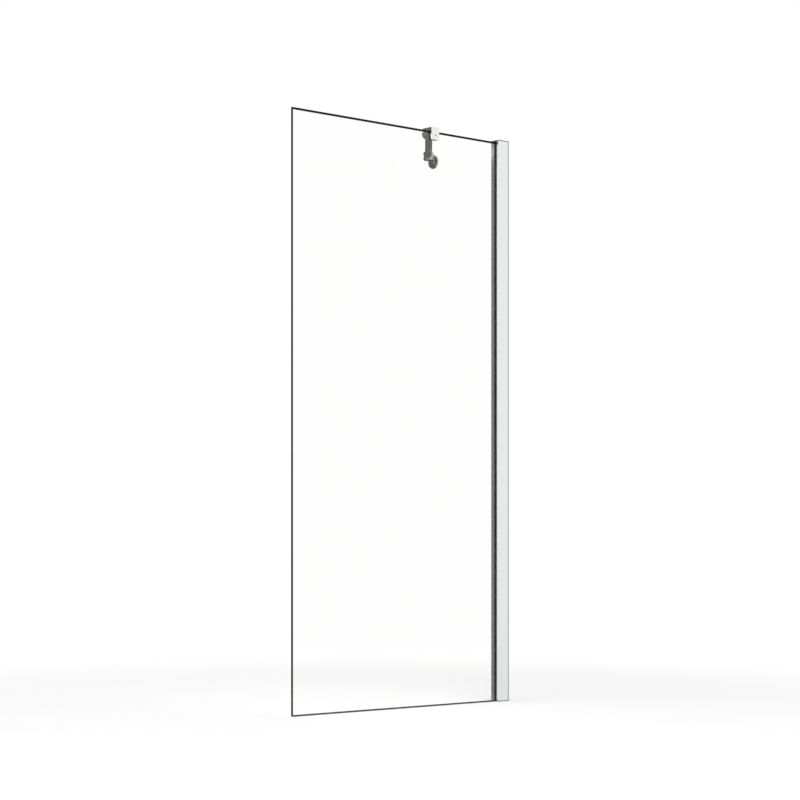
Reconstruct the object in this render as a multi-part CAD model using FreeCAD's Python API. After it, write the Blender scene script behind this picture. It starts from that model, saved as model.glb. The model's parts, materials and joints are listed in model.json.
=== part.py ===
import FreeCAD, Part
import os
from math import atan2, cos, degrees, hypot, radians, sin

# A fixed bath screen: one clear pane in a wall profile, with a swivelling brace bar.
# Millimetres. The mounting plane is x = 0 and the pane runs from it towards -X.
# +Y points to the brace's side, z = 0 is the foot of the wall profile, y = 0 is the middle of the pane.

# Overall size
screen_width = 690.0      # mounting plane to the free edge of the pane
profile_height = 1400.0   # foot to the top of the top cap

# Pane and what it stands on
glass_thickness = 6.0
glass_drop = 5.0          # top of the top cap down to the top edge of the pane
glass_arris = 0.6         # small ground chamfer along every edge
cap_thickness = 2.5       # plate of an end cap; the pane stands on the lower one
seal_setback = 1.0        # free edge of the pane to the end of the bottom seal

# Glass profile
room_half = 12.0          # middle of the pane to the profile's front face
bath_half = 18.0          # middle of the pane to its face on the brace's side
profile_wall = 1.5
profile_round = 2.0       # outer corners on the glass side
profile_rear_round = 0.6
pocket_depth = 13.0
gasket_thickness = 2.0
gasket_depth = 10.5
gasket_bead = 1.0         # bead that shows in front of the pocket's mouth
gasket_lip = 0.7          # bead's overhang beyond the pocket's wall
gasket_round = 0.8
block_thickness = 1.5
block_length = 60.0
block_inset = 140.0       # end of the profile to the middle of a setting block

# Wall post and the width adjustment
post_wall = 1.8
post_gap = 0.15           # post flange to the inside of the glass profile, each side
strip_width = 3.5         # post left showing behind the glass profile
stop_gap = 0.2            # least space left to the post when pushed fully in
slide_out = 8.0           # how far the glass profile can be drawn out from rest
post_end_setback = 0.5    # flange end to the inside of an end cap
wall_hole_radius = 2.6
wall_hole_count = 4
wall_hole_inset = 100.0   # end of the profile to the first screw hole

# Screws that lock the width
screw_radius = 2.0
screw_gap = 0.15          # hole radius over shank radius
screw_inset = 6.0         # rear edge of the glass profile to the screw
screw_count = 3
screw_end_inset = 200.0
screw_head_radius = 3.8
screw_head_height = 2.2
screw_head_round = 0.7
screw_socket_depth = 1.6
screw_past_nut = 1.0
nut_side = 7.0
nut_height = 3.2
nut_gap = 0.08            # hole radius over shank radius
slot_land = 1.35          # metal left between a slot and the post's free edge
cap_wall = 1.0
cap_round = 0.8
cap_head_gap = 0.3        # screw cap to the screw head

# End cap plugs
plug_length = 10.0
plug_gap = 0.2

# Glass clamp
clamp_from_wall = 249.0   # mounting plane to the middle of the clamp
clamp_width = 25.5
clamp_above = 8.7         # top of the clamp over the pane's top edge
clamp_below = 20.8        # bottom of the jaws under the pane's top edge
front_jaw = 4.0
rear_jaw = 4.0
liner_thickness = 1.5
liner_top = 1.0
plate_thickness = 1.0
plate_width = 20.0
plate_height = 12.0
clamp_grub_radius = 2.5
clamp_grub_gap = 0.05
clamp_grub_recess = 0.3
clamp_grub_socket = 2.0   # depth
clamp_edge_round = 2.0
knuckle_reach = 17.6      # middle of the pane to the clamp's pivot
knuckle_bottom = 16.5     # underside of the knuckle under the pane's top edge
knuckle_round = 12.0
lug_extra = 6.0           # the lower lug reaches this much further back than the upper one

# Support bar and its end fittings
bar_above_glass = 2.5     # bar axis over the pane's top edge
bar_radius = 9.0
bar_wall = 1.5
spigot_length = 18.0
spigot_gap = 0.05
bar_round = 0.6
bar_grub_radius = 2.0
bar_grub_gap = 0.05
bar_grub_inset = 9.0      # end of the tube to its grub screw
bar_grub_length = 5.0
bar_grub_recess = 0.2
bar_grub_socket = 2.5     # depth

# Swivels
pivot_radius = 3.0
pivot_gap = 0.05
pivot_head_radius = 5.0
pivot_head_height = 2.2
pivot_head_gap = 0.1
pivot_socket_depth = 1.4
pivot_end_cover = 2.0     # metal left under the end of a pivot screw
washer_thickness = 0.5
washer_radius = 6.0
clamp_tongue = 4.5
clamp_tongue_radius = 8.0
clamp_neck_width = 12.0
clamp_collar = 4.0
swing_gap = 1.5           # knuckle or head to whatever turns about it
head_radius = 13.0
head_height = 21.0
head_round = 2.0
head_collar = 3.0
wall_eye = 5.0            # thickness of the wall bracket's eye
wall_eye_radius = 7.0
wall_eye_gap = 1.0        # eye to the bottom of its slot
wall_neck_width = 10.0
slot_forward = 5.5        # slot reaches this far past the pivot, so the neck can swing

# Wall bracket and rosette
bracket_from_glass = 268.0   # middle of the pane to the bracket's axis
bracket_drop = 10.2          # bracket axis under the pane's top edge
rosette_radius = 17.8
rosette_depth = 4.0
rosette_wall = 0.9
rosette_round = 1.2
base_radius = 16.5
base_depth = 2.4
stem_width = 12.0
stem_bottom = 5.0            # underside of the stem under the bracket's axis
stem_front = 1.5             # stem showing in front of the rosette
stem_gap = 0.5               # stem to the turning head
stem_cut_gap = 0.15          # stem to its opening in the rosette
bracket_hole_radius = 2.3
bracket_hole_spacing = 16.0
bracket_hole_drop = 9.5      # screw holes under the bracket's axis

# Every hex socket, across its corners, as a share of its screw's diameter
hex_share = 0.5

# Worked out: heights
cap_top = profile_height - cap_thickness
glass_bottom = cap_thickness
glass_top = profile_height - glass_drop
half_glass = glass_thickness / 2
profile_middle = (bath_half - room_half) / 2
half_pocket = half_glass + gasket_thickness

# Worked out: stations along X, counted from the mounting plane
slide_in = strip_width - post_wall - stop_gap
screw_hole_radius = screw_radius + screw_gap
profile_rear = -strip_width
screw_x = profile_rear - screw_inset
post_reach = -screw_x + slide_out + screw_hole_radius + slot_land
web_rear = -(post_reach + slide_in + post_end_setback)
web_front = web_rear - profile_wall
profile_front = web_front - pocket_depth
glass_edge = web_front - block_thickness
free_edge = -screen_width
post_room = room_half - profile_wall - post_gap
post_bath = bath_half - profile_wall - post_gap

# Worked out: the brace
clamp_x = -clamp_from_wall
clamp_front = half_glass + liner_thickness + plate_thickness
clamp_rear = half_glass + liner_thickness
clamp_bottom = glass_top - clamp_below
plate_middle = glass_top - clamp_below / 2
bar_z = glass_top + bar_above_glass
stem_face = -(rosette_depth + stem_front)
wall_pivot_x = stem_face - stem_gap - head_radius
bar_run_x = wall_pivot_x - clamp_x
bar_run_y = bracket_from_glass - knuckle_reach
bar_angle = degrees(atan2(bar_run_y, bar_run_x))
pivot_distance = hypot(bar_run_x, bar_run_y)
clamp_collar_start = clamp_width / 2 + lug_extra + swing_gap
tube_start = clamp_collar_start + clamp_collar
head_collar_end = head_radius + head_collar
tube_end = pivot_distance - head_collar_end
clamp_fork_gap = clamp_tongue + 2 * washer_thickness
wall_slot_height = wall_eye + 2 * washer_thickness
bracket_z = glass_top - bracket_drop
spigot_radius = bar_radius - bar_wall - spigot_gap
pivot_hole_radius = pivot_radius + pivot_gap

up = (0, 0, 1)
down = (0, 0, -1)
towards_bath = (0, 1, 0)
towards_front = (0, -1, 0)
towards_wall = (1, 0, 0)


def block(x0, x1, y0, y1, z0, z1):
    return Part.makeBox(x1 - x0, y1 - y0, z1 - z0, FreeCAD.Vector(x0, y0, z0))


def rod(radius, length, base, direction):
    return Part.makeCylinder(radius, length, FreeCAD.Vector(*base), FreeCAD.Vector(*direction))


def hex_socket(screw_size, depth, base, direction):
    """Six-sided hole in a screw of this radius, from the base point along the direction."""
    corner_radius = screw_size * hex_share
    corners = [
        FreeCAD.Vector(corner_radius * cos(radians(60 * i)), corner_radius * sin(radians(60 * i)), 0)
        for i in range(7)
    ]
    socket = Part.Face(Part.makePolygon(corners)).extrude(FreeCAD.Vector(0, 0, depth))
    turn = FreeCAD.Rotation(FreeCAD.Vector(0, 0, 1), FreeCAD.Vector(*direction))
    socket.Placement = FreeCAD.Placement(FreeCAD.Vector(*base), turn)
    return socket


def upright_edges(shape, wanted):
    """Vertical edges whose plan position passes the test."""
    return [
        edge for edge in shape.Edges
        if abs(edge.tangentAt(edge.FirstParameter).z) > 0.999
        and wanted(edge.CenterOfMass.x, edge.CenterOfMass.y)
    ]


def level_edges(shape, z):
    return [
        edge for edge in shape.Edges
        if edge.BoundBox.ZLength < 0.001 and abs(edge.BoundBox.ZMin - z) < 0.001
    ]


def on_bar(shape, along=0.0, half_turn=False):
    """Carry a shape drawn along +X from a pivot to its place on the bar's axis."""
    angle = bar_angle + (180 if half_turn else 0)
    x = clamp_x + along * cos(radians(bar_angle))
    y = knuckle_reach + along * sin(radians(bar_angle))
    moved = shape.copy()
    turn = FreeCAD.Rotation(FreeCAD.Vector(*up), angle)
    moved.Placement = FreeCAD.Placement(FreeCAD.Vector(x, y, bar_z), turn)
    return moved


def spaced(first, last, count):
    return [first + (last - first) * i / (count - 1) for i in range(count)]


screw_heights = spaced(screw_end_inset, profile_height - screw_end_inset, screw_count)
wall_hole_heights = spaced(wall_hole_inset, profile_height - wall_hole_inset, wall_hole_count)


def profile_outline(z0, z1):
    body = block(profile_front, profile_rear, -room_half, bath_half, z0, z1)
    body = body.makeFillet(profile_round, upright_edges(body, lambda x, y: abs(x - profile_front) < 0.01))
    return body.makeFillet(profile_rear_round, upright_edges(body, lambda x, y: abs(x - profile_rear) < 0.01))


def profile_chamber(side, z0, z1, gap):
    """Hollow beside the glass pocket, or the plug that fits it with a gap all round."""
    inner = half_pocket + profile_wall + gap
    outer = (bath_half if side > 0 else room_half) - profile_wall - gap
    front = profile_front + profile_wall + gap
    low, high = sorted((side * inner, side * outer))
    hollow = block(front, web_front - gap, low, high, z0, z1)
    corner = upright_edges(hollow, lambda x, y: abs(x - front) < 0.01 and abs(y - side * outer) < 0.01)
    return hollow.makeFillet(profile_round - profile_wall, corner)


def make_glass_profile():
    body = profile_outline(cap_thickness, cap_top)
    rear = block(web_rear, 0, profile_wall - room_half, bath_half - profile_wall, 0, profile_height)
    pocket = block(profile_front, web_front, -half_pocket, half_pocket, 0, profile_height)
    hollows = [rear, pocket]
    hollows += [profile_chamber(side, 0, profile_height, 0) for side in (-1, 1)]
    hollows += [
        rod(screw_hole_radius, bath_half, (screw_x, half_pocket, z), towards_bath) for z in screw_heights
    ]
    return body.cut(hollows)


def make_wall_post():
    web = block(-post_wall, 0, -post_room, post_bath, 0, profile_height)
    low = cap_thickness + post_end_setback
    high = cap_top - post_end_setback
    flanges = [
        block(-post_reach, -post_wall, outside, outside + post_wall, low, high)
        for outside in (-post_room, post_bath - post_wall)
    ]
    body = web.fuse(flanges).removeSplitter()
    cuts = [
        rod(wall_hole_radius, post_wall, (-post_wall, profile_middle, z), towards_wall)
        for z in wall_hole_heights
    ]
    for z in screw_heights:
        near = screw_x + slide_in
        far = screw_x - slide_out
        low_side, high_side = z - screw_hole_radius, z + screw_hole_radius
        cuts += [
            rod(screw_hole_radius, bath_half, (near, 0, z), towards_bath),
            rod(screw_hole_radius, bath_half, (far, 0, z), towards_bath),
            block(far, near, 0, bath_half, low_side, high_side),
        ]
    return body.cut(cuts)


def make_end_cap(plate_low, plug_low):
    plate = profile_outline(plate_low, plate_low + cap_thickness)
    plugs = [profile_chamber(side, plug_low, plug_low + plug_length, plug_gap) for side in (-1, 1)]
    return plate.fuse(plugs).removeSplitter()


def make_glass_panel():
    pane = block(free_edge, glass_edge, -half_glass, half_glass, glass_bottom, glass_top)
    return pane.makeChamfer(glass_arris, [edge for edge in pane.Edges if edge.BoundBox.YLength < 0.001])


def make_bottom_seal():
    return block(free_edge + seal_setback, profile_front, -half_glass, half_glass, 0, glass_bottom)


def make_gasket(side):
    """Glazing strip beside the pane, with a rounded bead in front of the pocket."""
    inner, outer = side * half_glass, side * half_pocket
    lip = side * (half_pocket + gasket_lip)
    strip = block(profile_front, profile_front + gasket_depth, min(inner, outer), max(inner, outer),
                  cap_thickness, cap_top)
    bead = block(profile_front - gasket_bead, profile_front, min(inner, lip), max(inner, lip),
                 cap_thickness, cap_top)
    corner = upright_edges(bead, lambda x, y: x < profile_front - gasket_bead / 2 and abs(y - lip) < 0.01)
    bead = bead.makeFillet(gasket_round, corner)
    return strip.fuse(bead).removeSplitter()


def make_setting_blocks():
    half_width = half_pocket - plug_gap
    return Part.makeCompound([
        block(glass_edge, web_front, -half_width, half_width, z - block_length / 2, z + block_length / 2)
        for z in (block_inset, profile_height - block_inset)
    ])


def make_width_screw(z):
    nut_outside = post_bath - post_wall
    shank_end = nut_outside - nut_height - screw_past_nut
    shank = rod(screw_radius, bath_half - shank_end, (screw_x, shank_end, z), towards_bath)
    head = rod(screw_head_radius, screw_head_height, (screw_x, bath_half, z), towards_bath)
    head = head.makeFillet(screw_head_round, [
        edge for edge in head.Edges if abs(edge.BoundBox.YMin - bath_half - screw_head_height) < 0.001
    ])
    face = bath_half + screw_head_height
    socket = hex_socket(screw_head_radius, screw_socket_depth, (screw_x, face, z), towards_front)
    return shank.fuse(head).cut(socket)


def make_width_nut(z):
    outside = post_bath - post_wall
    half_side = nut_side / 2
    body = block(screw_x - half_side, screw_x + half_side, outside - nut_height, outside,
                 z - half_side, z + half_side)
    return body.cut(rod(screw_radius + nut_gap, nut_height, (screw_x, outside - nut_height, z), towards_bath))


def make_screw_cap(z):
    inside_radius = screw_head_radius + cap_head_gap
    height = screw_head_height + cap_head_gap + cap_wall
    outer = rod(inside_radius + cap_wall, height, (screw_x, bath_half, z), towards_bath)
    outer = outer.makeFillet(cap_round, [
        edge for edge in outer.Edges if abs(edge.BoundBox.YMin - bath_half - height) < 0.001
    ])
    return outer.cut(rod(inside_radius, height - cap_wall, (screw_x, bath_half, z), towards_bath))


def make_knuckle(z0, z1, reach, bottom_round):
    """Round-ended lug behind the clamp's rear jaw; its round end is drawn about the reach."""
    half_width = clamp_width / 2
    left, right = clamp_x - half_width, clamp_x + half_width
    rear_half = block(left, right, reach, reach + half_width, z0, z1)
    round_end = rod(half_width, z1 - z0, (clamp_x, reach, z0), up).common(rear_half)
    lug = block(left, right, clamp_rear, reach, z0, z1).fuse(round_end).removeSplitter()
    rim = [edge for edge in level_edges(lug, z0) if edge.BoundBox.YMax > clamp_rear + 0.01]
    return lug.makeFillet(bottom_round, rim)


def make_clamp_body():
    half_width = clamp_width / 2
    top = glass_top + clamp_above
    front = -clamp_front - front_jaw
    shell = block(clamp_x - half_width, clamp_x + half_width, front, clamp_rear + rear_jaw,
                  clamp_bottom, top)
    shell = shell.makeFillet(clamp_edge_round, [
        edge for edge in shell.Edges
        if edge.BoundBox.YMax < front + 0.01 or edge.BoundBox.ZMax < clamp_bottom + 0.01
    ])
    slot = block(clamp_x - clamp_width, clamp_x + clamp_width, -clamp_front, clamp_rear,
                 clamp_bottom, glass_top + liner_top)
    fork_low = bar_z - clamp_fork_gap / 2
    fork_high = bar_z + clamp_fork_gap / 2
    lower = make_knuckle(glass_top - knuckle_bottom, fork_low, knuckle_reach + lug_extra, knuckle_round)
    upper = make_knuckle(fork_high, top, knuckle_reach, clamp_edge_round)
    body = shell.cut(slot).fuse([lower, upper]).removeSplitter()
    pin_low = glass_top - knuckle_bottom + pivot_end_cover
    counterbore = pivot_head_radius + pivot_head_gap
    return body.cut([
        rod(pivot_hole_radius, top - pin_low, (clamp_x, knuckle_reach, pin_low), up),
        rod(counterbore, pivot_head_height, (clamp_x, knuckle_reach, top - pivot_head_height), up),
        rod(clamp_grub_radius, front_jaw, (clamp_x, front, plate_middle), towards_bath),
    ])


def make_clamp_liner():
    half_width = clamp_width / 2
    left, right = clamp_x - half_width, clamp_x + half_width
    outside = half_glass + liner_thickness
    liner = block(left, right, -outside, outside, clamp_bottom, glass_top + liner_top)
    return liner.cut(block(left, right, -half_glass, half_glass, clamp_bottom, glass_top))


def make_clamp_pressure_plate():
    half_width = plate_width / 2
    half_height = plate_height / 2
    return block(clamp_x - half_width, clamp_x + half_width, -clamp_front, -half_glass - liner_thickness,
                 plate_middle - half_height, plate_middle + half_height)


def make_clamp_grub_screw():
    front = -clamp_front - front_jaw + clamp_grub_recess
    length = front_jaw - clamp_grub_recess
    base = (clamp_x, front, plate_middle)
    radius = clamp_grub_radius - clamp_grub_gap
    socket = hex_socket(radius, clamp_grub_socket, base, towards_bath)
    return rod(radius, length, base, towards_bath).cut(socket)


def make_pivot_screw(x, y, low, high):
    """Shoulder screw with a sunk head, upright in its fork."""
    shank = rod(pivot_radius, high - low, (x, y, low), up)
    head = rod(pivot_head_radius, pivot_head_height, (x, y, high - pivot_head_height), up)
    socket = hex_socket(pivot_head_radius, pivot_socket_depth, (x, y, high), down)
    return shank.fuse(head).removeSplitter().cut(socket)


def make_washers(x, y, half_gap):
    rings = []
    for low in (bar_z - half_gap, bar_z + half_gap - washer_thickness):
        ring = rod(washer_radius, washer_thickness, (x, y, low), up)
        rings.append(ring.cut(rod(pivot_hole_radius, washer_thickness, (x, y, low), up)))
    return Part.makeCompound(rings)


def make_clamp_end_fitting():
    """Flat eye on the clamp's pivot, a collar as wide as the tube, and a spigot in its bore."""
    half = clamp_tongue / 2
    neck = clamp_neck_width / 2
    eye = rod(clamp_tongue_radius, clamp_tongue, (0, 0, -half), up)
    bridge = block(0, tube_start, -neck, neck, -half, half)
    collar = rod(bar_radius, clamp_collar, (clamp_collar_start, 0, 0), towards_wall)
    collar = collar.makeFillet(bar_round, [
        edge for edge in collar.Edges if abs(edge.BoundBox.XMax - clamp_collar_start) < 0.001
    ])
    spigot = rod(spigot_radius, spigot_length, (tube_start, 0, 0), towards_wall)
    body = eye.fuse([bridge, collar, spigot]).removeSplitter()
    return on_bar(body.cut([
        rod(pivot_hole_radius, clamp_tongue, (0, 0, -half), up),
        rod(bar_grub_radius, spigot_radius, (tube_start + bar_grub_inset, 0, -spigot_radius), up),
    ]))


def make_wall_end_head():
    """Round head on the wall end of the bar, slotted from behind for the bracket's eye."""
    half = head_height / 2
    slot_half = wall_slot_height / 2
    drum = rod(head_radius, head_height, (0, 0, -half), up)
    drum = drum.makeFillet(head_round, level_edges(drum, -half) + level_edges(drum, half))
    collar = rod(bar_radius, head_collar_end, (0, 0, 0), towards_wall)
    spigot = rod(spigot_radius, spigot_length, (head_collar_end, 0, 0), towards_wall)
    pocket_radius = wall_eye_radius + wall_eye_gap
    body = drum.fuse([collar, spigot]).removeSplitter()
    return on_bar(body.cut([
        rod(pocket_radius, wall_slot_height, (0, 0, -slot_half), up),
        block(-2 * head_radius, slot_forward, -2 * head_radius, 2 * head_radius, -slot_half, slot_half),
        rod(pivot_hole_radius, head_height - pivot_end_cover, (0, 0, -half + pivot_end_cover), up),
        rod(pivot_head_radius + pivot_head_gap, pivot_head_height, (0, 0, half - pivot_head_height), up),
        rod(bar_grub_radius, spigot_radius, (head_collar_end + bar_grub_inset, 0, -spigot_radius), up),
    ]), pivot_distance, half_turn=True)


def make_support_bar():
    tube = rod(bar_radius, tube_end - tube_start, (tube_start, 0, 0), towards_wall)
    bore = rod(bar_radius - bar_wall, tube_end - tube_start, (tube_start, 0, 0), towards_wall)
    holes = [
        rod(bar_grub_radius, bar_radius, (x, 0, -bar_radius), up)
        for x in (tube_start + bar_grub_inset, tube_end - bar_grub_inset)
    ]
    return on_bar(tube.cut([bore] + holes))


def make_bar_grub_screws():
    radius = bar_grub_radius - bar_grub_gap
    low = -bar_radius + bar_grub_recess
    screws = []
    for x in (tube_start + bar_grub_inset, tube_end - bar_grub_inset):
        base = (x, 0, low)
        socket = hex_socket(radius, bar_grub_socket, base, up)
        screws.append(on_bar(rod(radius, bar_grub_length, base, up).cut(socket)))
    return Part.makeCompound(screws)


def stem_block(gap, x0, x1):
    """Upright stem between the bracket's base and its eye, or its opening in the rosette."""
    half_width = stem_width / 2 + gap
    top = bar_z + wall_eye / 2 + gap
    return block(x0, x1, bracket_from_glass - half_width, bracket_from_glass + half_width,
                 bracket_z - stem_bottom - gap, top)


def make_wall_bracket():
    base = rod(base_radius, base_depth, (-base_depth, bracket_from_glass, bracket_z), towards_wall)
    stem = stem_block(0, stem_face, -base_depth)
    stem = stem.makeFillet(head_round, upright_edges(stem, lambda x, y: abs(x - stem_face) < 0.01))
    eye_low = bar_z - wall_eye / 2
    neck = block(wall_pivot_x, stem_face + head_round, bracket_from_glass - wall_neck_width / 2,
                 bracket_from_glass + wall_neck_width / 2, eye_low, eye_low + wall_eye)
    eye = rod(wall_eye_radius, wall_eye, (wall_pivot_x, bracket_from_glass, eye_low), up)
    body = base.fuse([stem, neck, eye]).removeSplitter()
    cuts = [rod(pivot_hole_radius, wall_eye, (wall_pivot_x, bracket_from_glass, eye_low), up)]
    for side in (-1, 1):
        y = bracket_from_glass + side * bracket_hole_spacing / 2
        base_point = (-base_depth, y, bracket_z - bracket_hole_drop)
        cuts.append(rod(bracket_hole_radius, base_depth, base_point, towards_wall))
    return body.cut(cuts)


def make_rosette():
    disc = rod(rosette_radius, rosette_depth, (-rosette_depth, bracket_from_glass, bracket_z), towards_wall)
    disc = disc.makeFillet(rosette_round, [
        edge for edge in disc.Edges if edge.BoundBox.XMax < -rosette_depth + 0.001
    ])
    inside = rosette_radius - rosette_wall
    hollow = rod(inside, rosette_depth - rosette_wall,
                 (rosette_wall - rosette_depth, bracket_from_glass, bracket_z), towards_wall)
    return disc.cut([hollow, stem_block(stem_cut_gap, -2 * rosette_depth, 0)])


def make_parts():
    clamp_screw_low = glass_top - knuckle_bottom + pivot_end_cover
    clamp_screw_high = glass_top + clamp_above
    head_screw_low = bar_z - head_height / 2 + pivot_end_cover
    head_screw_high = bar_z + head_height / 2
    return {
        "wall_post": make_wall_post(),
        "glass_profile": make_glass_profile(),
        "top_end_cap": make_end_cap(cap_top, cap_top - plug_length),
        "bottom_end_cap": make_end_cap(0, cap_thickness),
        "glass_panel": make_glass_panel(),
        "bottom_seal": make_bottom_seal(),
        "gasket_outer": make_gasket(-1),
        "gasket_inner": make_gasket(1),
        "setting_blocks": make_setting_blocks(),
        "width_screws": Part.makeCompound([make_width_screw(z) for z in screw_heights]),
        "width_nuts": Part.makeCompound([make_width_nut(z) for z in screw_heights]),
        "screw_caps": Part.makeCompound([make_screw_cap(z) for z in screw_heights]),
        "clamp_body": make_clamp_body(),
        "clamp_liner": make_clamp_liner(),
        "clamp_pressure_plate": make_clamp_pressure_plate(),
        "clamp_grub_screw": make_clamp_grub_screw(),
        "clamp_pivot_screw": make_pivot_screw(clamp_x, knuckle_reach, clamp_screw_low, clamp_screw_high),
        "clamp_washers": make_washers(clamp_x, knuckle_reach, clamp_fork_gap / 2),
        "clamp_end_fitting": make_clamp_end_fitting(),
        "support_bar": make_support_bar(),
        "wall_end_head": make_wall_end_head(),
        "bar_grub_screws": make_bar_grub_screws(),
        "wall_pivot_screw": make_pivot_screw(
            wall_pivot_x, bracket_from_glass, head_screw_low, head_screw_high),
        "wall_washers": make_washers(wall_pivot_x, bracket_from_glass, wall_slot_height / 2),
        "wall_bracket": make_wall_bracket(),
        "rosette": make_rosette(),
    }


os.makedirs("parts", exist_ok=True)
for name, shape in make_parts().items():
    shape.exportStep(f"parts/{name}.step")
print("profile", round(profile_front, 2), round(web_rear, 2), "post reach", round(post_reach, 2))
print("bar angle", round(bar_angle, 2), "pivots apart", round(pivot_distance, 2))
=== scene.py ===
import json
import math
import bmesh
import bpy
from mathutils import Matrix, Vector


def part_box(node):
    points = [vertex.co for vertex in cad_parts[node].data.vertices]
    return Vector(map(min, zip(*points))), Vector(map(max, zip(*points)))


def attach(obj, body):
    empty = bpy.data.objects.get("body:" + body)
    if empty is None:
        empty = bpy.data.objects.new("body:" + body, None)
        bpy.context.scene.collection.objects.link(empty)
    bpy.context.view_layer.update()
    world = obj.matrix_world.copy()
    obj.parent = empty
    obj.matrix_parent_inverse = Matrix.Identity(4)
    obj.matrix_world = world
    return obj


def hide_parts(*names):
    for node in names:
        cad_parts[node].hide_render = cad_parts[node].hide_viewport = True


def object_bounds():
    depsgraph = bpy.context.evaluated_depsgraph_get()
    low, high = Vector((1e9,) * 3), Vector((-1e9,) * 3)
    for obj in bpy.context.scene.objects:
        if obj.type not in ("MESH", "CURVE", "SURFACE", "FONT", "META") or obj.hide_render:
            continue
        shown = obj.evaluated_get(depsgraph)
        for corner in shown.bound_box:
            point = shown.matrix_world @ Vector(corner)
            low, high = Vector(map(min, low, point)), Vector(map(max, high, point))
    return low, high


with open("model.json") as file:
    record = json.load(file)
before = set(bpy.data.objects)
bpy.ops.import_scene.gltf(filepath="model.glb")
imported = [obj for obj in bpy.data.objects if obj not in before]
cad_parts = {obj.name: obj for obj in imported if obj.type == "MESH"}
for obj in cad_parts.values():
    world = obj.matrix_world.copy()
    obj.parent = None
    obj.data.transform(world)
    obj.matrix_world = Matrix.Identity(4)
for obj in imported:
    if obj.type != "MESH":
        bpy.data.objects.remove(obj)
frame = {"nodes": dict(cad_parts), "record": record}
nodes = frame["nodes"]
solidsLow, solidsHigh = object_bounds()
print("frame loaded:", len(nodes), "nodes")


# small helpers for node trees and meshes

def addNode(tree, kind, inputs=None, **settings):
    node = tree.nodes.new(kind)
    for name, value in settings.items():
        setattr(node, name, value)
    for socket, value in (inputs or {}).items():
        if isinstance(value, bpy.types.NodeSocket):
            tree.links.new(value, node.inputs[socket])
        else:
            node.inputs[socket].default_value = value
    return node


def calc(tree, operation, a, b=0.0, clamp=False):
    node = addNode(tree, "ShaderNodeMath", {0: a, 1: b}, operation=operation, use_clamp=clamp)
    return node.outputs[0]


def ramp(tree, value, fromLow, fromHigh, toLow, toHigh, smooth=True):
    node = addNode(tree, "ShaderNodeMapRange",
                   {"Value": value, "From Min": fromLow, "From Max": fromHigh,
                    "To Min": toLow, "To Max": toHigh},
                   interpolation_type="SMOOTHSTEP" if smooth else "LINEAR")
    return node.outputs["Result"]


def blendColours(tree, factor, a, b):
    return addNode(tree, "ShaderNodeMix", {0: factor, 6: a, 7: b}, data_type="RGBA").outputs[2]


def grey(value, tint=(1.0, 1.0, 1.0)):
    return (value * tint[0], value * tint[1], value * tint[2], 1.0)


def startMaterial(name):
    mat = bpy.data.materials.new(name)
    mat.use_nodes = True
    tree = mat.node_tree
    place = addNode(tree, "ShaderNodeTexCoord").outputs["Object"]
    return mat, tree, tree.nodes["Principled BSDF"], place


def roughen(tree, rough, *marks):
    # each mark is a mask and how much duller it leaves the surface
    for mask, amount in marks:
        rough = calc(tree, "ADD", rough, calc(tree, "MULTIPLY", mask, amount), clamp=True)
    return rough


def wire(tree, surface, colour, rough, bump):
    wanted = {"Base Color": colour, "Roughness": rough, "Normal": bump.outputs[0]}
    for name, value in wanted.items():
        tree.links.new(value, surface.inputs[name])


def startGroup(name, inputs, outputs):
    tree = bpy.data.node_groups.new(name, "ShaderNodeTree")
    for label, kind, value in inputs:
        socket = tree.interface.new_socket(label, in_out="INPUT",
                                           socket_type="NodeSocket" + kind)
        if value is not None:
            socket.default_value = value
    for label, kind in outputs:
        tree.interface.new_socket(label, in_out="OUTPUT", socket_type="NodeSocket" + kind)
    return tree, tree.nodes.new("NodeGroupInput").outputs, tree.nodes.new("NodeGroupOutput").inputs


def useGroup(tree, group, **values):
    return addNode(tree, "ShaderNodeGroup", values, node_tree=group).outputs


def addObject(bm, name, materials):
    mesh = bpy.data.meshes.new(name)
    bm.to_mesh(mesh)
    bm.free()
    for mat in materials:
        mesh.materials.append(mat)
    made = bpy.data.objects.new(name, mesh)
    bpy.context.scene.collection.objects.link(made)
    return made


# shared surface effects

def makeDrawnLines():
    # fine lines that run up an extrusion, with a broader band now and then
    tree, into, out = startGroup(
        "drawnLines",
        [("Place", "Vector", None), ("Across", "Float", 1400.0), ("Along", "Float", 1.2)],
        [("Fine", "Float"), ("Broad", "Float")])
    stretch = addNode(tree, "ShaderNodeCombineXYZ",
                      {0: into["Across"], 1: into["Across"], 2: into["Along"]}).outputs[0]
    squeezed = addNode(tree, "ShaderNodeVectorMath", {0: into["Place"], 1: stretch},
                       operation="MULTIPLY")
    fine = addNode(tree, "ShaderNodeTexNoise",
                   {"Vector": squeezed.outputs[0], "Scale": 1.0, "Detail": 3.0, "Roughness": 0.6})
    broad = addNode(tree, "ShaderNodeTexNoise",
                    {"Vector": squeezed.outputs[0], "Scale": 0.14, "Detail": 1.0})
    tree.links.new(fine.outputs["Fac"], out["Fine"])
    tree.links.new(broad.outputs["Fac"], out["Broad"])
    return tree


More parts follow.
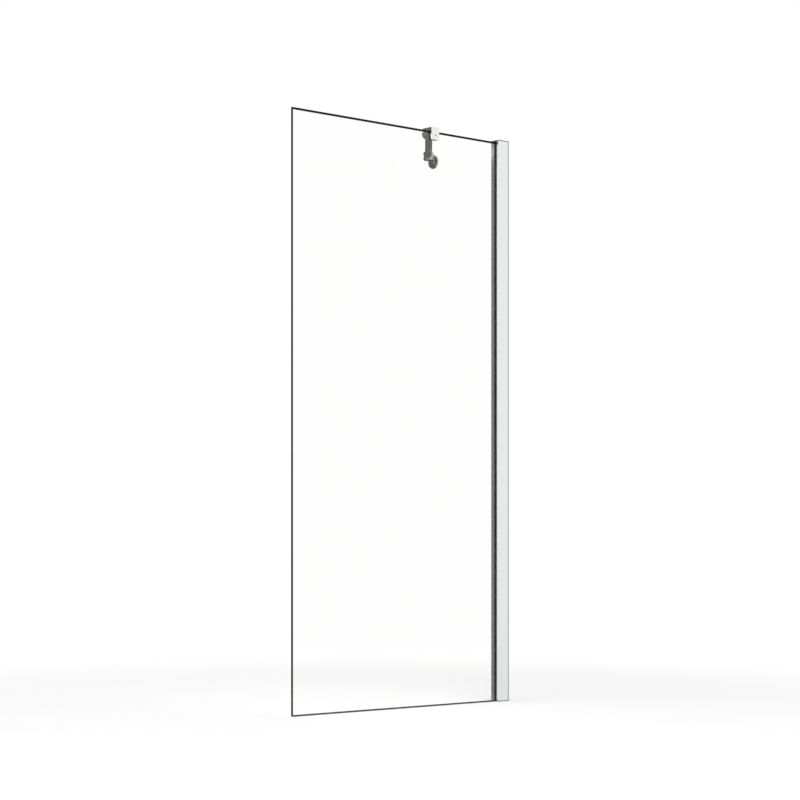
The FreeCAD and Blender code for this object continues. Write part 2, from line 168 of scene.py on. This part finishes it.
def makeHandMarks():
    # wiped smears and dried drops, so a gloss isn't the same all over
    tree, into, out = startGroup(
        "handMarks",
        [("Place", "Vector", None), ("Smear Size", "Float", 16.0), ("Drop Size", "Float", 220.0)],
        [("Smears", "Float"), ("Drops", "Float")])
    bent = addNode(tree, "ShaderNodeTexNoise",
                   {"Vector": into["Place"], "Scale": into["Smear Size"], "Detail": 4.0,
                    "Roughness": 0.55, "Distortion": 0.8})
    smears = ramp(tree, bent.outputs["Fac"], 0.42, 0.68, 0.0, 1.0)
    cells = addNode(tree, "ShaderNodeTexVoronoi",
                    {"Vector": into["Place"], "Scale": into["Drop Size"], "Randomness": 1.0})
    rim = ramp(tree, cells.outputs["Distance"], 0.16, 0.24, 1.0, 0.0)
    core = ramp(tree, cells.outputs["Distance"], 0.08, 0.17, 0.75, 0.0)
    ring = calc(tree, "SUBTRACT", rim, core, clamp=True)
    few = addNode(tree, "ShaderNodeTexNoise",
                  {"Vector": into["Place"], "Scale": into["Smear Size"]})
    spread = ramp(tree, few.outputs["Fac"], 0.5, 0.7, 0.0, 1.0)
    tree.links.new(smears, out["Smears"])
    tree.links.new(calc(tree, "MULTIPLY", ring, spread), out["Drops"])
    return tree


def makeHairlines():
    # polishing scratches in three directions
    tree, into, out = startGroup(
        "hairlines",
        [("Place", "Vector", None), ("Fineness", "Float", 2600.0)],
        [("Scratches", "Float")])
    total = 0.0
    for turn in ((0.2, 0.9, 0.1), (1.1, 0.1, 0.7), (0.5, 0.4, 1.7)):
        turned = addNode(tree, "ShaderNodeMapping",
                         {"Vector": into["Place"], "Rotation": turn, "Scale": (1.0, 0.016, 0.4)})
        lines = addNode(tree, "ShaderNodeTexNoise",
                        {"Vector": turned.outputs[0], "Scale": into["Fineness"], "Detail": 1.0})
        total = calc(tree, "ADD", ramp(tree, lines.outputs["Fac"], 0.66, 0.74, 0.0, 0.5), total)
    tree.links.new(calc(tree, "MINIMUM", total, 1.0), out["Scratches"])
    return tree


def makeSettledDust():
    # a breath of dust on what faces up
    tree, into, out = startGroup(
        "settledDust",
        [("Place", "Vector", None), ("Amount", "Float", 0.3)],
        [("Dust", "Float")])
    facing = addNode(tree, "ShaderNodeNewGeometry").outputs["Normal"]
    upward = addNode(tree, "ShaderNodeSeparateXYZ", {0: facing}).outputs["Z"]
    lying = ramp(tree, upward, 0.35, 0.95, 0.0, 1.0)
    specks = addNode(tree, "ShaderNodeTexNoise",
                     {"Vector": into["Place"], "Scale": 900.0, "Detail": 5.0})
    patches = ramp(tree, specks.outputs["Fac"], 0.4, 0.7, 0.35, 1.0)
    dust = calc(tree, "MULTIPLY", calc(tree, "MULTIPLY", lying, patches), into["Amount"])
    tree.links.new(dust, out["Dust"])
    return tree


def makeMouldGrain():
    # spark-eroded grain on moulded plastic, or the dull skin of rubber
    tree, into, out = startGroup(
        "mouldGrain",
        [("Place", "Vector", None), ("Fineness", "Float", 2400.0)],
        [("Grain", "Float"), ("Flow", "Float")])
    pits = addNode(tree, "ShaderNodeTexNoise",
                   {"Vector": into["Place"], "Scale": into["Fineness"], "Detail": 4.0,
                    "Roughness": 0.7})
    flow = addNode(tree, "ShaderNodeTexNoise",
                   {"Vector": into["Place"], "Scale": 35.0, "Detail": 2.0, "Distortion": 1.4})
    tree.links.new(pits.outputs["Fac"], out["Grain"])
    tree.links.new(flow.outputs["Fac"], out["Flow"])
    return tree


def makeSoftEdges():
    # how near a surface point is to a sharp edge, and the normal rounded over it
    tree, into, out = startGroup(
        "softEdges",
        [("Radius", "Float", 0.0004)],
        [("Edge", "Float"), ("Rounded", "Vector")])
    rounded = addNode(tree, "ShaderNodeBevel", {"Radius": into["Radius"]}, samples=6).outputs[0]
    true = addNode(tree, "ShaderNodeNewGeometry").outputs["Normal"]
    match = addNode(tree, "ShaderNodeVectorMath", {0: rounded, 1: true}, operation="DOT_PRODUCT")
    tree.links.new(ramp(tree, match.outputs["Value"], 0.9, 0.998, 1.0, 0.0), out["Edge"])
    tree.links.new(rounded, out["Rounded"])
    return tree


drawnLines = makeDrawnLines()
handMarks = makeHandMarks()
hairlines = makeHairlines()
settledDust = makeSettledDust()
mouldGrain = makeMouldGrain()
softEdges = makeSoftEdges()
print("shared effects built")


# finishes

anodised = {
    "bright": {"shade": 0.87, "deep": 0.81, "gloss": 0.20, "dull": 0.32, "lineHeight": 0.000006,
               "edge": 0.9},
    # painted shade: the inner finish is darker than its own satin grey, so the wall post's strip
    # between profile and wall reads as lying in shadow
    "inner": {"shade": 0.19, "deep": 0.16, "gloss": 0.34, "dull": 0.46, "lineHeight": 0.000008,
              "edge": 0.1},
    "tint": (0.985, 0.995, 1.0),
    # colour and reach of the lighter edges: rubbed wear and a painted highlight
    "edgeShade": 0.97,
    "edgeReach": 0.0012,
    "dust": 0.35,
    "dustShade": 0.62,
    "dustDull": 0.4,
    "smearDull": 0.05,
}


def makeAnodised(name, look):
    mat, tree, surface, place = startMaterial(name)
    lines = useGroup(tree, drawnLines, Place=place)
    marks = useGroup(tree, handMarks, Place=place)
    dust = useGroup(tree, settledDust, Place=place, Amount=anodised["dust"])["Dust"]
    edges = useGroup(tree, softEdges, Radius=anodised["edgeReach"])
    streak = calc(tree, "MULTIPLY", lines["Fine"], lines["Broad"])
    metal = blendColours(tree, ramp(tree, streak, 0.12, 0.42, 0.0, 1.0),
                         grey(look["deep"], anodised["tint"]),
                         grey(look["shade"], anodised["tint"]))
    # edges lighter in colour: rubbed wear, and a painted highlight along the rounded corners of
    # the profile
    edgeWearAndHighlight = blendColours(tree, calc(tree, "MULTIPLY", edges["Edge"], look["edge"]),
                          metal, grey(anodised["edgeShade"]))
    colour = blendColours(tree, dust, edgeWearAndHighlight, grey(anodised["dustShade"]))
    rough = ramp(tree, lines["Fine"], 0.3, 0.7, look["gloss"], look["dull"])
    rough = roughen(tree, rough, (marks["Smears"], anodised["smearDull"]),
                    (dust, anodised["dustDull"]))
    bump = addNode(tree, "ShaderNodeBump",
                   {"Height": lines["Fine"], "Distance": look["lineHeight"], "Strength": 0.6,
                    "Normal": edges["Rounded"]})
    wire(tree, surface, colour, rough, bump)
    surface.inputs["Metallic"].default_value = 1.0
    return mat


chrome = {
    "bright": {"shade": 0.86, "worn": 0.75},
    "shaded": {"shade": 0.42, "worn": 0.35},   # painted shade: a darker copy of the chrome for the fittings at the wall, which mirror little light
    "paintedShadeNodes": ("wall_end_head", "wall_bracket", "rosette"),
    "tint": (0.995, 0.995, 0.97),
    "gloss": 0.04,
    "smeared": 0.13,
    "scratched": 0.24,
    "scratchDepth": 0.000004,
    "smearSize": 45.0,
    "smearWorn": 0.35,
    "dropSize": 320.0,
    "dropDull": 0.12,
    "edgeReach": 0.0003,
    "edgeShade": 0.93,
    "edgeShare": 0.25,
    "dust": 0.22,
    "dustShade": 0.6,
    "dustDull": 0.5,
}


def makeChrome(name, look):
    mat, tree, surface, place = startMaterial(name)
    marks = useGroup(tree, handMarks, Place=place,
                     **{"Smear Size": chrome["smearSize"], "Drop Size": chrome["dropSize"]})
    scratches = useGroup(tree, hairlines, Place=place)["Scratches"]
    dust = useGroup(tree, settledDust, Place=place, Amount=chrome["dust"])["Dust"]
    edges = useGroup(tree, softEdges, Radius=chrome["edgeReach"])
    metal = blendColours(tree, calc(tree, "MULTIPLY", marks["Smears"], chrome["smearWorn"]),
                         grey(look["shade"], chrome["tint"]), grey(look["worn"], chrome["tint"]))
    metal = blendColours(tree, calc(tree, "MULTIPLY", edges["Edge"], chrome["edgeShare"]),
                         metal, grey(chrome["edgeShade"]))
    colour = blendColours(tree, dust, metal, grey(chrome["dustShade"]))
    rough = ramp(tree, marks["Smears"], 0.0, 1.0, chrome["gloss"], chrome["smeared"])
    rough = roughen(tree, rough, (scratches, chrome["scratched"] - chrome["gloss"]),
                    (marks["Drops"], chrome["dropDull"]), (dust, chrome["dustDull"]))
    bump = addNode(tree, "ShaderNodeBump",
                   {"Height": scratches, "Distance": chrome["scratchDepth"], "Strength": 0.4,
                    "Normal": edges["Rounded"]}, invert=True)
    wire(tree, surface, colour, rough, bump)
    surface.inputs["Metallic"].default_value = 1.0
    return mat


steel = {
    "shade": 0.60,
    "deep": 0.46,
    "gloss": 0.26,
    "dull": 0.42,
    "scratchDull": 0.2,
    "scratchFineness": 1800.0,
    "edgeReach": 0.00025,
    "edgeShade": 0.8,
    "edgeShare": 0.6,
    "tumbleScale": 1500.0,
    "tumbleHeight": 0.00002,
    "tint": (1.0, 0.99, 0.97),
}


def makeSteel():
    # turned and tumbled stainless fasteners
    mat, tree, surface, place = startMaterial("plainSteel")
    tumbled = addNode(tree, "ShaderNodeTexNoise",
                      {"Vector": place, "Scale": steel["tumbleScale"], "Detail": 5.0})
    scratches = useGroup(tree, hairlines, Place=place,
                         Fineness=steel["scratchFineness"])["Scratches"]
    edges = useGroup(tree, softEdges, Radius=steel["edgeReach"])
    metal = blendColours(tree, ramp(tree, tumbled.outputs["Fac"], 0.35, 0.65, 0.0, 1.0),
                         grey(steel["deep"]), grey(steel["shade"], steel["tint"]))
    colour = blendColours(tree, calc(tree, "MULTIPLY", edges["Edge"], steel["edgeShare"]),
                          metal, grey(steel["edgeShade"]))
    rough = ramp(tree, tumbled.outputs["Fac"], 0.3, 0.7, steel["gloss"], steel["dull"])
    rough = roughen(tree, rough, (scratches, steel["scratchDull"]))
    bump = addNode(tree, "ShaderNodeBump",
                   {"Height": tumbled.outputs["Fac"], "Distance": steel["tumbleHeight"],
                    "Strength": 0.3, "Normal": edges["Rounded"]})
    wire(tree, surface, colour, rough, bump)
    surface.inputs["Metallic"].default_value = 1.0
    return mat


moulded = {
    "dustShade": 0.55,
    "dustDull": 0.3,
    "pitShade": 0.8,      # of the deep shade
    "pitShare": 0.35,
    "slots": {
        "cap_grey": {"name": "greyCap", "shade": 0.25, "deep": 0.20, "gloss": 0.32,
                     "dull": 0.46, "grain": 0.00003, "tint": (0.99, 1.0, 1.0)},
        "seal_dark": {"name": "darkSeal", "shade": 0.11, "deep": 0.07, "gloss": 0.45,
                      "dull": 0.65, "grain": 0.00004, "tint": (1.0, 1.0, 1.0)},
        "gasket_black": {"name": "blackGasket", "shade": 0.045, "deep": 0.03, "gloss": 0.5,
                         "dull": 0.7, "grain": 0.00004, "tint": (1.0, 1.0, 1.0)},
        "block_white": {"name": "whiteBlock", "shade": 0.80, "deep": 0.74, "gloss": 0.4,
                        "dull": 0.55, "grain": 0.00004, "tint": (1.0, 1.0, 0.98)},
        "washer_white": {"name": "whiteWasher", "shade": 0.84, "deep": 0.78, "gloss": 0.35,
                         "dull": 0.5, "grain": 0.00003, "tint": (1.0, 1.0, 0.98)},
    },
}


def makeMoulded(look):
    # plastics and rubbers share the grain, each with its own shade and gloss
    mat, tree, surface, place = startMaterial(look["name"])
    grain = useGroup(tree, mouldGrain, Place=place)
    dust = useGroup(tree, settledDust, Place=place)["Dust"]
    body = blendColours(tree, ramp(tree, grain["Flow"], 0.3, 0.7, 0.0, 1.0),
                        grey(look["deep"], look["tint"]), grey(look["shade"], look["tint"]))
    pitted = blendColours(tree, ramp(tree, grain["Grain"], 0.3, 0.5, moulded["pitShare"], 0.0),
                          body, grey(look["deep"] * moulded["pitShade"], look["tint"]))
    colour = blendColours(tree, dust, pitted, grey(moulded["dustShade"]))
    rough = ramp(tree, grain["Grain"], 0.3, 0.7, look["gloss"], look["dull"])
    rough = roughen(tree, rough, (dust, moulded["dustDull"]))
    bump = addNode(tree, "ShaderNodeBump",
                   {"Height": grain["Grain"], "Distance": look["grain"], "Strength": 0.5})
    wire(tree, surface, colour, rough, bump)
    return mat


glass = {
    "clear": (0.988, 0.992, 0.984, 1.0),
    "filmed": (0.975, 0.980, 0.972, 1.0),
    "edge": (0.002, 0.004, 0.003, 1.0),
    "edgeStreak": (0.004, 0.009, 0.007, 1.0),
    "ior": 1.5,
    "mirrored": (0.42, 0.42, 0.42, 1.0),   # share of the mirrored light that the photograph shows
    "smearSize": 5.0,
    "smearShare": 0.5,
    "dropSize": 90.0,
    "waveSize": 2.5,
    "waveHeight": 0.00005,
    "wheelSize": 420.0,
    "wheelHeight": 0.00002,
    "edgeGloss": 0.12,
    "edgeDull": 0.26,
    "edgeSpecular": 0.12,
}


def makeGlass():
    mat, tree, surface, place = startMaterial("clearGlass")
    roller = addNode(tree, "ShaderNodeTexNoise",
                     {"Vector": place, "Scale": glass["waveSize"], "Detail": 1.0})
    marks = useGroup(tree, handMarks, Place=place,
                     **{"Smear Size": glass["smearSize"], "Drop Size": glass["dropSize"]})
    colour = blendColours(tree, calc(tree, "MULTIPLY", marks["Smears"], glass["smearShare"]),
                          glass["clear"], glass["filmed"])
    bump = addNode(tree, "ShaderNodeBump",
                   {"Height": roller.outputs["Fac"], "Distance": glass["waveHeight"],
                    "Strength": 0.1})
    tree.links.new(colour, surface.inputs["Base Color"])
    tree.links.new(bump.outputs[0], surface.inputs["Normal"])
    surface.inputs["Roughness"].default_value = 0.0
    surface.inputs["IOR"].default_value = glass["ior"]
    surface.inputs["Specular Tint"].default_value = glass["mirrored"]
    surface.inputs["Transmission Weight"].default_value = 1.0
    # lamps shine straight through, so the pane casts only a faint shadow
    through = addNode(tree, "ShaderNodeBsdfTransparent", {"Color": colour}).outputs[0]
    isShadow = addNode(tree, "ShaderNodeLightPath").outputs["Is Shadow Ray"]
    mixed = addNode(tree, "ShaderNodeMixShader",
                    {0: isShadow, 1: surface.outputs[0], 2: through}).outputs[0]
    tree.links.new(mixed, tree.nodes["Material Output"].inputs["Surface"])
    return mat


def makeGlassEdge():
    # the polished edge is painted nearly black, standing in for the dark look that light inside
    # the glass gives it, with the odd green streak left by the wheel; the same painted shade also
    # covers narrow bands of the faces beside it
    mat, tree, surface, place = startMaterial("glassEdgeAndPaintedShade")
    wheel = addNode(tree, "ShaderNodeTexNoise",
                    {"Vector": place, "Scale": glass["wheelSize"], "Detail": 3.0})
    colour = blendColours(tree, ramp(tree, wheel.outputs["Fac"], 0.5, 0.75, 0.0, 1.0),
                          glass["edge"], glass["edgeStreak"])
    rough = ramp(tree, wheel.outputs["Fac"], 0.3, 0.7, glass["edgeGloss"], glass["edgeDull"])
    bump = addNode(tree, "ShaderNodeBump",
                   {"Height": wheel.outputs["Fac"], "Distance": glass["wheelHeight"],
                    "Strength": 0.3})
    wire(tree, surface, colour, rough, bump)
    surface.inputs["Specular IOR Level"].default_value = glass["edgeSpecular"]
    return mat


liner = {
    "deep": (0.045, 0.048, 0.050, 1.0),
    "shade": (0.09, 0.095, 0.10, 1.0),
    "gloss": 0.3,
    "dull": 0.5,
    "fineness": 1200.0,
    "grain": 0.00003,
    "softness": 0.2,
    "lightReach": 0.001,
}


def makeLiner():
    # soft dark plastic between clamp and glass
    mat, tree, surface, place = startMaterial("darkLiner")
    grain = useGroup(tree, mouldGrain, Place=place, Fineness=liner["fineness"])
    colour = blendColours(tree, grain["Flow"], liner["deep"], liner["shade"])
    rough = ramp(tree, grain["Grain"], 0.3, 0.7, liner["gloss"], liner["dull"])
    bump = addNode(tree, "ShaderNodeBump",
                   {"Height": grain["Grain"], "Distance": liner["grain"], "Strength": 0.4})
    wire(tree, surface, colour, rough, bump)
    surface.inputs["Subsurface Weight"].default_value = liner["softness"]
    surface.inputs["Subsurface Radius"].default_value = (liner["lightReach"],) * 3
    return mat


finishes = {
    "anodised_bright": makeAnodised("brightAnodised", anodised["bright"]),
    "anodised_inner": makeAnodised("satinAnodisedPaintedShade", anodised["inner"]),
    "clear_glass": makeGlass(),
    "steel_plain": makeSteel(),
    "chrome_plate": makeChrome("chromePlate", chrome["bright"]),
    "liner_dark": makeLiner(),
}
for slotName, look in moulded["slots"].items():
    finishes[slotName] = makeMoulded(look)


def dressNodes():
    # the fittings at the wall get the darker copy of the chrome: painted shade
    shaded = makeChrome("paintedShadeChrome", chrome["shaded"])
    for part in frame["record"]["subparts"]:
        mesh = nodes[part["node"]].data
        mesh.materials.clear()
        inShade = part["node"] in chrome["paintedShadeNodes"]
        mesh.materials.append(shaded if inShade else finishes[part["material_slot"]])


dressNodes()
print("finishes built:", len(finishes))


# the pane, with its polished edges

pane = {
    "arris": 0.0008,      # ground edge, rounded over
    "segments": 4,
    "topPaintedShade": 0.0046,    # how far the painted shade of the polished top edge reaches down the faces
    "sidePaintedShade": 0.0012,
    "footPaintedShade": 0.0012,
}


def makePane():
    low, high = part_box("glass_panel")
    bm = bmesh.new()
    bmesh.ops.create_cube(bm, size=1.0)
    bmesh.ops.scale(bm, vec=high - low, verts=bm.verts)
    bmesh.ops.translate(bm, vec=(low + high) / 2, verts=bm.verts)
    bmesh.ops.bevel(bm, geom=bm.edges[:], offset=pane["arris"], affect="EDGES",
                    segments=pane["segments"], profile=0.5, material=-1)
    cuts = (((0, 0, high.z - pane["topPaintedShade"]), (0, 0, 1)),
            ((0, 0, low.z + pane["footPaintedShade"]), (0, 0, 1)),
            ((low.x + pane["sidePaintedShade"], 0, 0), (1, 0, 0)),
            ((high.x - pane["sidePaintedShade"], 0, 0), (1, 0, 0)))
    for point, normal in cuts:
        bmesh.ops.bisect_plane(bm, geom=bm.verts[:] + bm.edges[:] + bm.faces[:],
                               plane_co=point, plane_no=normal)
    bm.normal_update()
    for face in bm.faces:
        middle = face.calc_center_median()
        between = low.x + pane["sidePaintedShade"] < middle.x < high.x - pane["sidePaintedShade"]
        level = low.z + pane["footPaintedShade"] < middle.z < high.z - pane["topPaintedShade"]
        # faces within these reaches of the edges take the dark edge finish, as painted shade
        face.material_index = 0 if between and level and abs(face.normal.y) > 0.9 else 1
        # only the arris is shaded round, so the faces stay optically flat
        face.smooth = max(abs(n) for n in face.normal) < 0.999
    piece = addObject(bm, "glass_pane", [finishes["clear_glass"], makeGlassEdge()])
    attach(piece, "screen_side")
    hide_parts("glass_panel")


makePane()
print("pane modelled")


# floor, light and camera

studio = {
    "floorReach": 2.4,
    "floorSegments": 96,
    "floorShade": 0.80,
    "floorRoughness": 0.9,
    "floorSpecular": 0.1,
    "floorLift": 0.20,        # emission that brings the lit floor up to white in the picture
    "floorInMetal": 0.86,     # how bright metal sees the floor in front of the pane
    "rearInMetal": 0.12,      # and behind it
    "whiteFrom": 0.7,         # distance from the part where the floor starts turning plain white
    "whiteBy": 0.9,           # share of the floor's reach where it has turned
    "ambient": 0.62,
    "mirrorBright": 1.0,      # how bright metal sees the world in front of the pane
    "mirrorSide": 0.15,       # behind it
    "mirrorBeyond": 0.086,    # and behind it along farHeading
    "turnsDark": (-0.1, 0.7),         # share of +Y in a heading, from bright to dark
    "farHeading": (0.68, 0.73, 0.0),
    "farTurn": (0.7, 0.95),           # share of farHeading in it, from side to beyond
}


def makeFloorFinish(centre):
    mat, tree, surface, place = startMaterial("paleFloor")
    surface.inputs["Roughness"].default_value = studio["floorRoughness"]
    surface.inputs["Specular IOR Level"].default_value = studio["floorSpecular"]
    surface.inputs["Emission Color"].default_value = grey(1.0)
    rays = addNode(tree, "ShaderNodeLightPath").outputs
    away = addNode(tree, "ShaderNodeVectorMath", {0: place, 1: (centre.x, centre.y, 0)},
                   operation="DISTANCE").outputs["Value"]
    far = ramp(tree, away, studio["whiteFrom"], studio["whiteBy"] * studio["floorReach"], 0.0, 1.0)
    plain = ramp(tree, far, 0.0, 1.0, studio["floorLift"], 1.0, smooth=False)
    seen = calc(tree, "MAXIMUM", rays["Is Camera Ray"], rays["Is Transmission Ray"])
    # metal sees a plain level instead, dark behind the pane
    mirrored = calc(tree, "SUBTRACT", rays["Is Glossy Ray"], rays["Is Transmission Ray"],
                    clamp=True)
    heading = addNode(tree, "ShaderNodeVectorMath", {0: place}, operation="NORMALIZE")
    side = addNode(tree, "ShaderNodeSeparateXYZ", {0: heading.outputs["Vector"]}).outputs["Y"]
    level = ramp(tree, side, *studio["turnsDark"], studio["floorInMetal"], studio["rearInMetal"])
    lift = calc(tree, "ADD", calc(tree, "MULTIPLY", seen, plain),
                calc(tree, "MULTIPLY", mirrored, level))
    shaded = blendColours(tree, calc(tree, "MAXIMUM", far, mirrored),
                          grey(studio["floorShade"]), grey(0.0))
    tree.links.new(shaded, surface.inputs["Base Color"])
    tree.links.new(lift, surface.inputs["Emission Strength"])
    return mat


def makeFloor():
    centre = (solidsLow + solidsHigh) / 2
    bm = bmesh.new()
    bmesh.ops.create_circle(bm, cap_ends=True, segments=studio["floorSegments"],
                            radius=studio["floorReach"])
    bmesh.ops.translate(bm, vec=(centre.x, centre.y, solidsLow.z), verts=bm.verts)
    floor = addObject(bm, "studioFloor", [makeFloorFinish(centre)])


def makeWorld():
    world = bpy.data.worlds.new("studio")
    bpy.context.scene.world = world
    world.use_nodes = True
    tree = world.node_tree
    tree.nodes.clear()
    rays = addNode(tree, "ShaderNodeLightPath").outputs
    direction = addNode(tree, "ShaderNodeTexCoord").outputs["Generated"]
    depth = addNode(tree, "ShaderNodeSeparateXYZ", {0: direction}).outputs["Y"]
    beyond = addNode(tree, "ShaderNodeVectorMath", {0: direction, 1: studio["farHeading"]},
                     operation="DOT_PRODUCT").outputs["Value"]
    side = ramp(tree, depth, *studio["turnsDark"], studio["mirrorBright"], studio["mirrorSide"])
    dark = ramp(tree, beyond, *studio["farTurn"],
                1.0, studio["mirrorBeyond"] / studio["mirrorSide"])
    mirrored = calc(tree, "MULTIPLY", side, dark)
    white = calc(tree, "MAXIMUM", rays["Is Camera Ray"], rays["Is Transmission Ray"])
    level = addNode(tree, "ShaderNodeMix",
                    {0: rays["Is Glossy Ray"], 2: studio["ambient"], 3: mirrored})
    strength = addNode(tree, "ShaderNodeMix", {0: white, 2: level.outputs[0], 3: 1.0})
    background = addNode(tree, "ShaderNodeBackground",
                         {"Color": grey(1.0), "Strength": strength.outputs[0]})
    output = addNode(tree, "ShaderNodeOutputWorld")
    tree.links.new(background.outputs[0], output.inputs["Surface"])


lamps = {
    "key": {"at": (-2.2, -3.2, 3.0), "watts": 55.0, "size": 2.4, "inMetal": False},
    "fill": {"at": (-3.4, -0.9, 2.6), "watts": 14.0, "size": 1.6, "inMetal": False},
    "top": {"at": (-0.2, 0.6, 3.6), "watts": 24.0, "size": 2.4, "inMetal": True},
}


def makeLamps():
    aim = (solidsLow + solidsHigh) / 2
    for name, lamp in lamps.items():
        data = bpy.data.lights.new(name, "AREA")
        data.energy = lamp["watts"]
        data.size = lamp["size"]
        light = bpy.data.objects.new(name, data)
        light.location = lamp["at"]
        light.visible_glossy = lamp["inMetal"]
        light.rotation_euler = (aim - light.location).to_track_quat("-Z", "Y").to_euler()
        bpy.context.scene.collection.objects.link(light)


photoCamera = {
    "at": (-3.7167, -3.7339, 0.4240),
    "heading": 41.981,        # degrees from +Y towards +X
    "lens": 94.437,
    "shiftUp": 0.16433,
}


def makeCamera():
    data = bpy.data.cameras.new("photoView")
    data.sensor_width = 36.0
    data.lens = photoCamera["lens"]
    data.shift_y = photoCamera["shiftUp"]
    camera = bpy.data.objects.new("photoView", data)
    camera.location = photoCamera["at"]
    camera.rotation_euler = (math.radians(90), 0, math.radians(-photoCamera["heading"]))
    bpy.context.scene.collection.objects.link(camera)
    bpy.context.scene.camera = camera


makeFloor()
makeWorld()
makeLamps()
makeCamera()
bpy.context.scene.view_settings.view_transform = "Standard"
print("studio ready")
